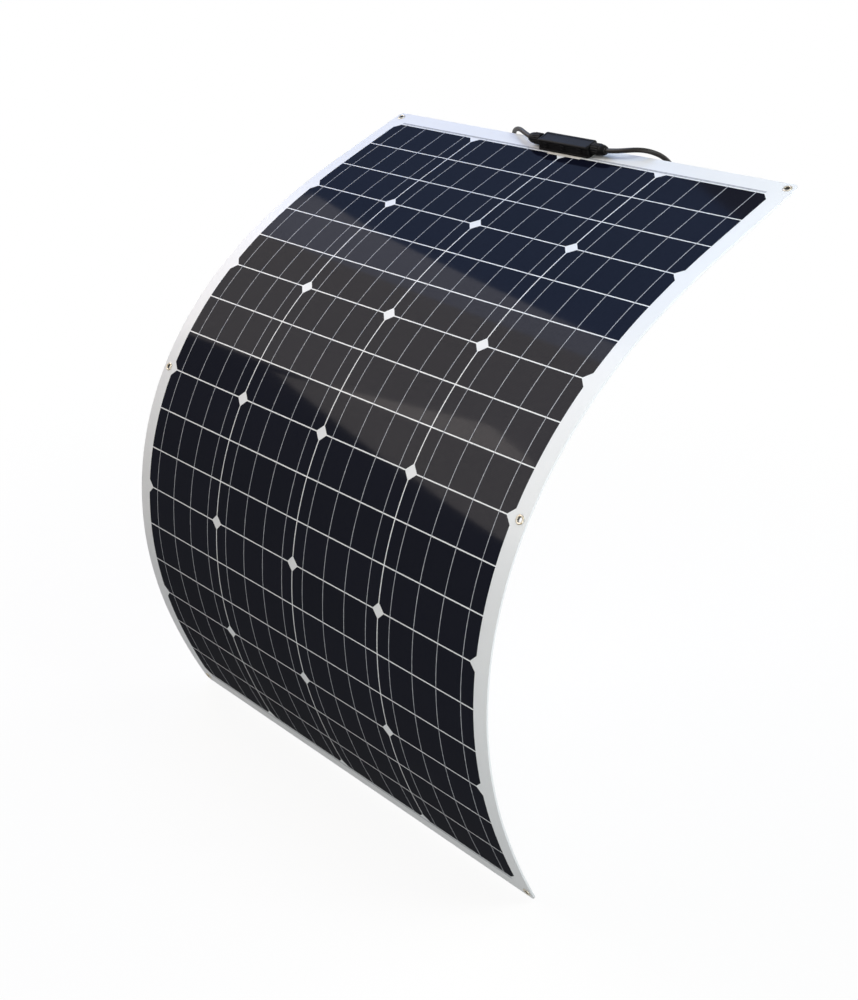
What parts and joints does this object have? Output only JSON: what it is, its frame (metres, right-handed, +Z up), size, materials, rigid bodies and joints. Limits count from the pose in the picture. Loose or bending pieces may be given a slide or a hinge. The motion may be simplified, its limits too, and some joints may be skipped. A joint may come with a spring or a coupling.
{
  "type": "flexible solar panel",
  "caption": "Thin bendable solar sheet with dark cut cells under clear film, brass eyelets along its edges, and a slim junction box with two coiled leads at one end.",
  "frame": {"origin": "centre of the front surface, midway between the two middle eyelets", "axes": "+X along the sheet's width, the line it bends about; +Z up with the junction box at the top end; -Y is the side the cells face, the sheet's middle leaning back 29.5 degrees from the vertical"},
  "size_m": [0.6716, 0.5326, 0.7794],
  "materials": {
    "back_sheet": "white back sheet, slightly glossy",
    "cells": "dark blue silicon, satin",
    "ribbons": "tinned ribbon, satin",
    "front_film": "clear glossy film",
    "eyelets": "nickelled brass, polished",
    "adhesive": "pale silicone",
    "box_plastic": "black moulded plastic, fine texture",
    "lead_jacket": "black cable jacket, satin",
    "tie_plastic": "black nylon",
    "connector_plastic": "black moulded plastic"
  },
  "bodies": {
    "strip_1": {"back_sheet_1": "back_sheet", "cells_1": "cells", "front_film_1": "front_film", "head_bus_ribbon": "ribbons", "head_eyelets": "eyelets", "box_pad": "adhesive", "box_base": "box_plastic", "box_lid": "box_plastic", "gland_nuts": "box_plastic", "gland_seals": "lead_jacket", "lead_left": "lead_jacket", "lead_right": "lead_jacket", "coil_left": "lead_jacket", "coil_right": "lead_jacket", "lead_end_left": "lead_jacket", "lead_end_right": "lead_jacket", "coil_ties": "tie_plastic", "plug_body": "connector_plastic", "socket_body": "connector_plastic", "connector_nuts": "connector_plastic"},
    "strip_2": {"back_sheet_2": "back_sheet", "cells_2": "cells", "front_film_2": "front_film"},
    "strip_3": {"back_sheet_3": "back_sheet", "cells_3": "cells", "front_film_3": "front_film"},
    "strip_4": {"back_sheet_4": "back_sheet", "cells_4": "cells", "front_film_4": "front_film"},
    "strip_5": {"back_sheet_5": "back_sheet", "cells_5": "cells", "front_film_5": "front_film", "middle_eyelets": "eyelets"},
    "strip_6": {"back_sheet_6": "back_sheet", "cells_6": "cells", "front_film_6": "front_film"},
    "strip_7": {"back_sheet_7": "back_sheet", "cells_7": "cells", "front_film_7": "front_film"},
    "strip_8": {"back_sheet_8": "back_sheet", "cells_8": "cells", "front_film_8": "front_film"},
    "strip_9": {"back_sheet_9": "back_sheet", "cells_9": "cells", "front_film_9": "front_film", "tail_bus_ribbon": "ribbons", "tail_eyelets": "eyelets"}
  },
  "joints": [
    {"name": "flex_1", "type": "hinge", "parent": "strip_2", "child": "strip_1", "pos_m": [0, 0.28916, 0.22989], "axis": [1, 0, 0], "range_deg": [-0.34, 3.29]},
    {"name": "flex_2", "type": "hinge", "parent": "strip_3", "child": "strip_2", "pos_m": [0, 0.19276, 0.18242], "axis": [1, 0, 0], "range_deg": [-0.81, 8]},
    {"name": "flex_3", "type": "hinge", "parent": "strip_4", "child": "strip_3", "pos_m": [0, 0.10397, 0.12208], "axis": [1, 0, 0], "range_deg": [-1.19, 11.86]},
    {"name": "flex_4", "type": "hinge", "parent": "strip_5", "child": "strip_4", "pos_m": [0, 0.02953, 0.04487], "axis": [1, 0, 0], "range_deg": [-1.46, 14.46]},
    {"name": "flex_5", "type": "hinge", "parent": "strip_5", "child": "strip_6", "pos_m": [0, -0.02325, -0.04842], "axis": [-1, 0, 0], "range_deg": [-1.55, 15.52]},
    {"name": "flex_6", "type": "hinge", "parent": "strip_6", "child": "strip_7", "pos_m": [0, -0.04913, -0.15241], "axis": [-1, 0, 0], "range_deg": [-1.5, 14.96]},
    {"name": "flex_7", "type": "hinge", "parent": "strip_7", "child": "strip_8", "pos_m": [0, -0.04732, -0.25962], "axis": [-1, 0, 0], "range_deg": [-1.29, 12.79]},
    {"name": "flex_8", "type": "hinge", "parent": "strip_8", "child": "strip_9", "pos_m": [0, -0.0218, -0.36387], "axis": [-1, 0, 0], "range_deg": [-0.94, 9.27]}
  ],
  "couplings": [
    {"joint": "flex_1", "follows": "flex_5", "ratio": 0.211},
    {"joint": "flex_2", "follows": "flex_5", "ratio": 0.51441},
    {"joint": "flex_3", "follows": "flex_5", "ratio": 0.76321},
    {"joint": "flex_4", "follows": "flex_5", "ratio": 0.93102},
    {"joint": "flex_6", "follows": "flex_5", "ratio": 0.96284},
    {"joint": "flex_7", "follows": "flex_5", "ratio": 0.82349},
    {"joint": "flex_8", "follows": "flex_5", "ratio": 0.59674}
  ]
}
